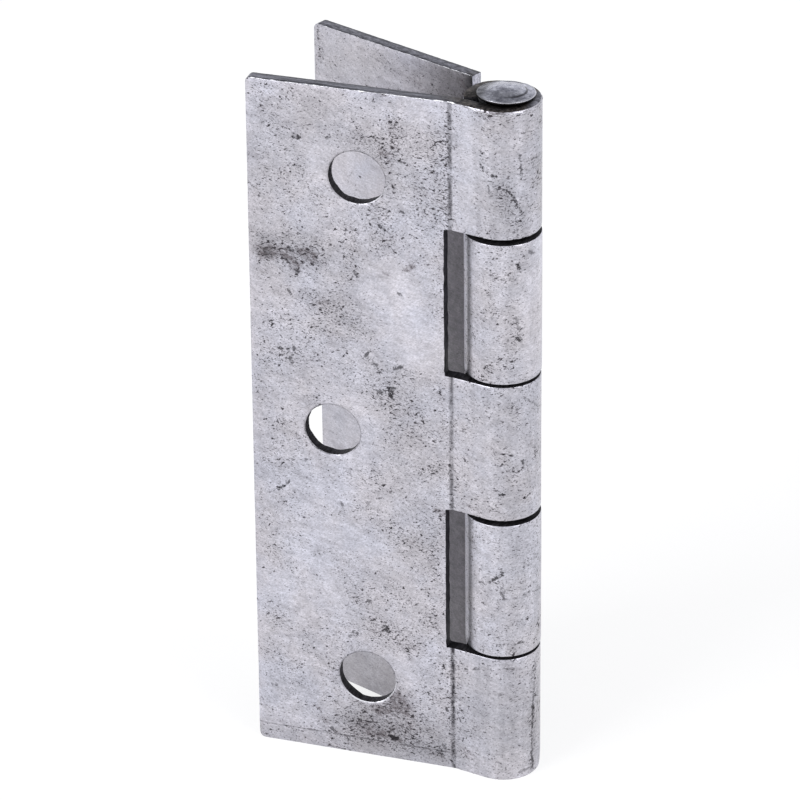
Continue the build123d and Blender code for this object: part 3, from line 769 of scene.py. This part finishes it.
def pressed_leaf(name):
    """A leaf's folded sheet, from its solid: finely cut up, pressed, sorted by finish, its edges broken."""
    leaf = LEAVES[name]
    mesh = bmesh.new()
    mesh.from_mesh(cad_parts[name].data)
    bmesh.ops.remove_doubles(mesh, verts=mesh.verts, dist=0.002 * MM)
    bmesh.ops.transform(mesh, matrix=leaf["to_leaf"].to_4x4(), verts=mesh.verts)
    if leaf["to_leaf"].determinant() < 0:
        bmesh.ops.reverse_faces(mesh, faces=mesh.faces)
    bmesh.ops.dissolve_limit(mesh, angle_limit=radians(0.5), verts=mesh.verts, edges=mesh.edges)
    cut_across(mesh, 2, np.arange(0.5, LEAF_HEIGHT - 0.9, 0.5))
    cut_across(mesh, 0, np.arange(-LEAF_REACH + 0.75, -CREASE_REACH + 0.2, 0.5))
    for face in mesh.faces:
        face.material_index = sort_face(face, name)

    # Twice as fine on the outer side, and round the knuckles
    fine = set()
    for face in mesh.faces:
        centre = face.calc_center_median() / MM
        if centre.x < -CREASE_REACH:
            on_skin = face.normal.y < -0.5
        else:
            on_skin = hypot(centre.x, centre.y) > leaf["bore"] + SHEET / 2
        if face.material_index == ROLLED and on_skin:
            fine.update(face.edges)
    bmesh.ops.subdivide_edges(mesh, edges=list(fine), cuts=1, use_grid_fill=True)
    outer = leaf["bore"] + SHEET
    for vertex in mesh.verts:
        radius = vertex.co.xy.length / MM
        past_crease = vertex.co.x > -CREASE_REACH * MM and vertex.co.y > -FACE_OFFSET * MM
        if outer - 0.06 < radius < outer and past_crease:
            vertex.co.xy *= outer / radius
    bmesh.ops.remove_doubles(mesh, verts=mesh.verts, dist=0.04 * MM)

    press(mesh, leaf)
    weights = mesh.edges.layers.float.new("bevel_weight_edge")
    for edge in mesh.edges:
        if len(edge.link_faces) == 2 and edge.calc_face_angle(0) > radians(35):
            middle = (edge.verts[0].co + edge.verts[1].co) / (2 * MM)
            broken = 0.1 * (0.6 + 0.4 * noise.noise(middle / 0.9))
            if middle.x > -SLOT_DEPTH - 0.5:
                beside = [near for vertex in edge.verts for near in vertex.link_edges]
                broken = min(broken, 0.45 * min(near.calc_length() for near in beside) / MM)
            rolled_over = middle.z > LEAF_HEIGHT - 0.2 and middle.x > -2.5 and middle.xy.length > outer - 0.1
            edge[weights] = (top_roll(middle.x) if rolled_over else broken) / TOP_ROLL
    data = bpy.data.meshes.new(name + "_pressed")
    mesh.to_mesh(data)
    mesh.free()
    piece = add_object(name + "_pressed", data)
    bevel = piece.modifiers.new("broken edges", "BEVEL")
    bevel.limit_method = "WEIGHT"
    bevel.width = TOP_ROLL * MM
    bevel.segments = 2
    bevel.use_clamp_overlap = False
    bevel.material = BROKEN_EDGE
    return baked(piece)


def smooth_rings(mesh):
    """Takes out the points where the outline of a large face turns back on itself."""
    for _ in range(4):
        folded = {}
        for face in mesh.faces:
            ring = face.verts[:] if len(face.verts) > 20 else []
            for before, corner, after in zip(ring[-1:] + ring[:-1], ring, ring[1:] + ring[:1]):
                if (corner.co - before.co).normalized().dot((after.co - corner.co).normalized()) < -0.5:
                    if before not in folded:
                        folded[corner] = before
        bmesh.ops.weld_verts(mesh, targetmap=folded)


def weather(data, name):
    """Writes the leaf's marks on its mesh, which is still in leaf coordinates."""
    leaf = LEAVES[name]
    flat = np.empty(len(data.vertices) * 3)
    data.vertices.foreach_get("co", flat)
    points = flat.reshape(-1, 3) / MM
    past, depth, _ = unrolled(points, leaf["bore"])
    on_skin = depth < SHEET / 2
    # The marks seen on the two-knuckle leaf's flat are on its inner side
    marked = on_skin ^ ((past < 0) & (name == "two_knuckle_leaf"))
    values = {
        word: inside_marks(past, points[:, 2], marks[name]) * marked
        for word, marks in (("stain", STAINS), ("pitting", PITTING), ("rubbed_and_highlight", RUBBED), ("darker_and_fold_shade", DULLED))
    }
    # Painted shade deep in the fold between the leaves, darkest near the top beside the slot end; the
    # leaves' inner sides are less pitted
    fold_shade = np.where(on_skin, 0, np.clip((past + 12) / 8, 0, 1)) ** 1.3
    slot_end_shade = np.where(on_skin | (points[:, 2] < 62), 0, np.clip((past + 2.1) / 0.9, 0, 1))
    values["darker_and_fold_shade"] = np.maximum(values["darker_and_fold_shade"], fold_shade) + 0.6 * slot_end_shade
    values["sheltered"] = np.where(on_skin, 0, 1 - 0.65 * np.clip((points[:, 2] - 64) / 5, 0, 1))
    past_rims = []
    values["rim_highlight"] = np.zeros(len(points))
    for (reach, height), (shift, across, down, up, bright) in zip(HOLES, leaf["punched"]):
        in_x, in_z = points[:, 0] + reach - shift, points[:, 2] - height
        past_rims.append(HOLE_RADIUS * (np.hypot(in_x / across, in_z / np.where(in_z < 0, down, up)) - 1))
        below = np.clip((0.8 * in_x - 2 * in_z) / HOLE_RADIUS - 0.3, 0, 1) * (past_rims[-1] < 1) * on_skin
        values["rim_highlight"] += bright * below
    values["past_rim"] = np.clip(np.min(past_rims, axis=0), 0, 5)
    way, values["scar_depth"] = nearest_mark(past, points[:, 2], SCARS[name])
    way[~marked] = FAR_FROM_SCARS
    for word, value in values.items():
        data.attributes.new(word, "FLOAT", "POINT").data.foreach_set("value", value.astype(np.float32))
    from_scar = data.attributes.new("from_scar", "FLOAT_VECTOR", "POINT")
    from_scar.data.foreach_set("vector", way.astype(np.float32).ravel())


def burr_tree(material):
    """Geometry nodes that run a ragged burr along a path."""
    tree = bpy.data.node_groups.new("burr", "GeometryNodeTree")
    tree.interface.new_socket("Path", in_out="INPUT", socket_type="NodeSocketGeometry")
    for size in ("Spacing", "Thickness", "Sway", "Seed"):
        tree.interface.new_socket(size, in_out="INPUT", socket_type="NodeSocketFloat")
    tree.interface.new_socket("Burr", in_out="OUTPUT", socket_type="NodeSocketGeometry")
    add = partial(add_node, tree)
    given = add("NodeGroupInput").node.outputs
    line = add("GeometryNodeMeshToCurve", {"Mesh": given["Path"]})
    line = add("GeometryNodeResampleCurve", {"Curve": line, "Length": given["Spacing"]}, mode="LENGTH")
    where = add("GeometryNodeInputPosition")
    ragged = add(
        "ShaderNodeTexNoise",
        {"Vector": where, "W": given["Seed"], "Scale": 0.8 / MM, "Detail": 3.0},
        noise_dimensions="4D",
    ).node.outputs
    thick = add(
        "ShaderNodeMapRange",
        {"Value": ragged[0], "From Min": 0.42, "From Max": 0.62, "To Min": 0.15, "To Max": 1.0},
    )
    radius = add("ShaderNodeMath", {0: thick, 1: given["Thickness"]}, operation="MULTIPLY")
    swung = add("ShaderNodeVectorMath", {0: ragged[1], 1: (0.5, 0.5, 0.5)}, operation="SUBTRACT")
    swung = add("ShaderNodeVectorMath", {0: swung, "Scale": given["Sway"]}, operation="SCALE")
    line = add("GeometryNodeSetPosition", {"Geometry": line, "Offset": swung})
    section = add("GeometryNodeCurvePrimitiveCircle", {"Resolution": 6, "Radius": 1.0})
    solid = add(
        "GeometryNodeCurveToMesh",
        {"Curve": line, "Profile Curve": section, "Scale": radius, "Fill Caps": True},
    )
    solid = add("GeometryNodeRealizeInstances", {"Geometry": solid})
    solid = add("GeometryNodeSetMaterial", {"Geometry": solid, "Material": material})
    add("NodeGroupOutput", {"Burr": solid})
    return tree


def burr_along(path, tree, settings):
    """The burr's mesh along a path of points."""
    data = bpy.data.meshes.new("burr_path")
    data.from_pydata(path, [(i, i + 1) for i in range(len(path) - 1)], [])
    holder = add_object("burr_path", data)
    grown = holder.modifiers.new("burr", "NODES")
    grown.node_group = tree
    for item in tree.interface.items_tree:
        if item.name in settings:
            grown[item.identifier] = settings[item.name]
    return baked(holder)


def top_edge(leaf, side_depth):
    """The path of a leaf's top edge in leaf coordinates, on the outer or inner side of the sheet."""
    outer = leaf["bore"] + SHEET
    free_edge = -LEAF_REACH + leaf["edge_lean"] + FREE_CORNER_RADIUS
    y = -FACE_OFFSET + side_depth
    steps = ceil((-SLOT_DEPTH - free_edge) / 0.5)
    path = [(free_edge + (-SLOT_DEPTH - free_edge) * i / steps, y) for i in range(steps + 1)]
    if leaf is LEAVES["three_knuckle_leaf"]:
        turns = np.linspace(-crank_lean(outer), BURR_END, 40)
        path.append((-CREASE_REACH, y))
        path += [(outer * sin(turn), -outer * cos(turn)) for turn in turns]
    return [Vector((x, y, LEAF_HEIGHT - top_roll(x))) * MM for x, y in path]


for name, leaf in LEAVES.items():
    data = pressed_leaf(name)
    weather(data, name)
    for material in (
        rolled_steel(name + "_rolled", name),
        sheared_steel(name + "_sheared", name, *leaf["sheared"], dirty=True),
        blackened_and_shaded_steel(name + "_blackened", name),
        burnished_and_highlighted_steel(name + "_broken_edges", name, "#5c5c64", "#a6a6b0"),
        # The two-knuckle leaf's slot ends get a paler copy of the cut edge's steel: a painted highlight
        sheared_steel(name + "_slot_end", name, "#9c9ca8", "#d8d8e2", 0.6, dirty=False),
        burnished_and_highlighted_steel(name + "_burr", name, "#7e7e88", "#efeff3"),
    ):
        data.materials.append(material)

    # The burr along the top, turned up where the front leaf's edge was sheared
    front = name == "three_knuckle_leaf"
    path = top_edge(leaf, 0.02 if front else SHEET - 0.02)
    thickness = 0.075 if front else 0.045
    settings = {"Spacing": 0.12 * MM, "Thickness": thickness * MM, "Sway": 0.1 * MM, "Seed": 4.0}
    burr = burr_along(path, burr_tree(data.materials[BURR]), settings)

    mesh = bmesh.new()
    mesh.from_mesh(data)
    # Where the broken edges meet, the bevel leaves doubled points, slits and loose flaps
    bmesh.ops.remove_doubles(mesh, verts=mesh.verts, dist=0.003 * MM)
    smooth_rings(mesh)
    slits = [edge for edge in mesh.edges if len(edge.link_faces) == 1]
    bmesh.ops.holes_fill(mesh, edges=slits, sides=6)
    flaps = {face for edge in mesh.edges if len(edge.link_faces) == 1 for face in edge.link_faces}
    bmesh.ops.delete(mesh, geom=list(flaps), context="FACES")
    mesh.to_mesh(data)
    mesh.clear()
    mesh.from_mesh(burr)
    for face in mesh.faces:
        face.material_index = BURR
    mesh.from_mesh(data)
    to_place = leaf["to_leaf"].inverted()
    bmesh.ops.transform(mesh, matrix=to_place.to_4x4(), verts=mesh.verts)
    if to_place.determinant() < 0:
        bmesh.ops.reverse_faces(mesh, faces=mesh.faces)
    for face in mesh.faces:
        face.smooth = True
    for edge in mesh.edges:
        edge.smooth = edge.calc_face_angle(0) < radians(32)
    mesh.to_mesh(data)
    mesh.free()

    piece = add_object(name + "_pressed", data)
    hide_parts(name)
    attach(piece, leaf["body"])


def turned(name, centre, profile, segments):
    """A solid of revolution from (radius, height) pairs in mm, bottom to top, its upper end hammered."""
    mesh = bmesh.new()
    rings = []
    for radius, height in profile:
        if radius == 0:
            rings.append([mesh.verts.new(Vector((*centre(height), height)) * MM)])
            continue
        ring = []
        for i in range(segments):
            turn = 2 * pi * i / segments
            x, y = centre(height)
            point = Vector((x + radius * cos(turn), y + radius * sin(turn), height))
            lifted = min(1, max(0, (height - LEAF_HEIGHT) / HEAD_RIM_HEIGHT))
            point.z -= lifted * (0.045 * point.y + 0.05 * abs(noise.noise(point / 0.8)))
            ring.append(mesh.verts.new(point * MM))
        rings.append(ring)
    for below, above in zip(rings, rings[1:]):
        for i in range(segments):
            around = (below, i), (below, i + 1), (above, i + 1), (above, i)
            corners = [ring[step % len(ring)] for ring, step in around]
            mesh.faces.new(list(dict.fromkeys(corners)))
    for face in mesh.faces:
        face.smooth = True
    for edge in mesh.edges:
        edge.smooth = edge.calc_face_angle(0) < radians(40)
    data = bpy.data.meshes.new(name)
    mesh.to_mesh(data)
    mesh.free()
    return add_object(name, data)


# The pin, as (radius, height) pairs: its shank, then its riveted head's underside, rim, ring and crown
head_profile = [(2.6, 75.0), (2.72, 75.15), (2.84, 75.31), (2.87, 75.4), (2.84, 75.44), (2.75, 75.46)]
head_profile += [(r, 75.4 + (2.87 - r) * 0.2 / 0.95) for r in np.linspace(2.65, 1.99, 6)]
head_profile += [(1.955, 75.6), (1.9, 75.67)]
head_profile += [(r, 75.67 + 0.31 * (1 - (r / 1.92) ** 2)) for r in np.linspace(1.8, 0.15, 12)]
head_profile += [(0, 75.98)]
shank_profile = [(0, 0.0), (2.1, 0.0), (2.2, 0.03), (2.37, 0.2)]
shank_profile += [(PIN_RADIUS, height) for height in (0.33, LEAF_HEIGHT / 2, LEAF_HEIGHT - 0.02)]
pin = turned(
    "hinge_pin_riveted",
    lambda height: HEAD_SHIFT if height >= LEAF_HEIGHT else (0, 0),
    shank_profile + head_profile,
    segments=96,
)
pin.data.materials.append(riveted_steel("riveted steel"))
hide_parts("hinge_pin")
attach(pin, "fixed_leaf")

# Stage: a plain pale floor. What the camera and mirror-like rays see of it is white, less the hinge's
# soft shadow.
floor_mesh = bpy.data.meshes.new("floor")
half = 3.0
corners = [(-half, -half, 0), (half, -half, 0), (half, half, 0), (-half, half, 0)]
floor_mesh.from_pydata(corners, [], [(0, 1, 2, 3)])
floor = add_object("floor", floor_mesh)
floor_material = bpy.data.materials.new("floor")
floor_material.use_nodes = True
floor_tree = floor_material.node_tree
add = partial(add_node, floor_tree)
seen_by = add("ShaderNodeLightPath").node.outputs
shown = seen_by["Is Camera Ray"]
for kind in ("Is Glossy Ray", "Is Transmission Ray"):
    shown = add("ShaderNodeMath", {0: shown, 1: seen_by[kind]}, operation="MAXIMUM")
floor_colour = add(
    "ShaderNodeMix", {0: shown, 6: linear("#e6e6e6"), 7: linear("#a0a0a0")}, data_type="RGBA"
)
glow = add("ShaderNodeMath", {0: shown, 1: 0.75}, operation="MULTIPLY")
glowing = {"Emission Color": (1, 1, 1, 1), "Emission Strength": glow}
floor_shader = floor_tree.nodes["Principled BSDF"]
set_inputs(floor_shader, {"Base Color": floor_colour, "Roughness": 0.9, **glowing})
floor_mesh.materials.append(floor_material)

# Camera, at the photograph's viewing angle
AZIMUTH = 0.318458879
ELEVATION = 0.4897592
ROLL = -0.0122122683
DISTANCE = 0.472016393
TARGET = Vector((-0.0107223381, 0, 0.040413188))
FOCAL_LENGTH = 4742.99612  # in the photograph's pixels
PHOTO_WIDTH = 800
SENSOR_WIDTH = 36

camera_data = bpy.data.cameras.new("camera")
camera_data.sensor_width = SENSOR_WIDTH
camera_data.lens = FOCAL_LENGTH / PHOTO_WIDTH * SENSOR_WIDTH
camera_data.clip_start = 0.01
camera = add_object("camera", camera_data)
back = Vector((sin(AZIMUTH) * cos(ELEVATION), -cos(AZIMUTH) * cos(ELEVATION), sin(ELEVATION)))
right = Vector((cos(AZIMUTH), sin(AZIMUTH), 0))
up = back.cross(right)
level = Matrix((right, up, back)).transposed().to_4x4()
camera.matrix_world = Matrix.Translation(TARGET + back * DISTANCE) @ level @ Matrix.Rotation(ROLL, 4, "Z")
scene.camera = camera


def softbox(name, place, aim, size, watts):
    """A rectangular lamp, turned from its place towards a point."""
    data = bpy.data.lights.new(name, "AREA")
    data.shape = "RECTANGLE"
    data.size, data.size_y = size
    data.energy = watts
    lamp = add_object(name, data)
    lamp.location = place
    lamp.rotation_euler = (Vector(aim) - Vector(place)).to_track_quat("-Z", "Y").to_euler()


softbox("key", (-0.45, -0.6, 0.45), (0, 0, 0.03), (0.5, 0.5), 3.5)
softbox("fill", (0.6, -0.3, 0.3), (0, 0, 0.03), (0.4, 0.5), 1.5)

# The room: bright all round at the height of the bench, darker overhead
world = bpy.data.worlds.new("studio")
scene.world = world
world.use_nodes = True
room = world.node_tree
add = partial(add_node, room)
direction = add("ShaderNodeTexCoord").node.outputs["Generated"]
climb = add("ShaderNodeSeparateXYZ", {0: direction}).node.outputs["Z"]
brightness = add(
    "ShaderNodeMapRange",
    {"Value": climb, "From Min": 0.1, "From Max": 0.85, "To Min": 1.0, "To Max": 0.35},
    interpolation_type="SMOOTHSTEP",
)
set_inputs(room.nodes["Background"], {"Color": (0.95, 0.96, 1, 1), "Strength": brightness})

scene.view_settings.view_transform = "Standard"
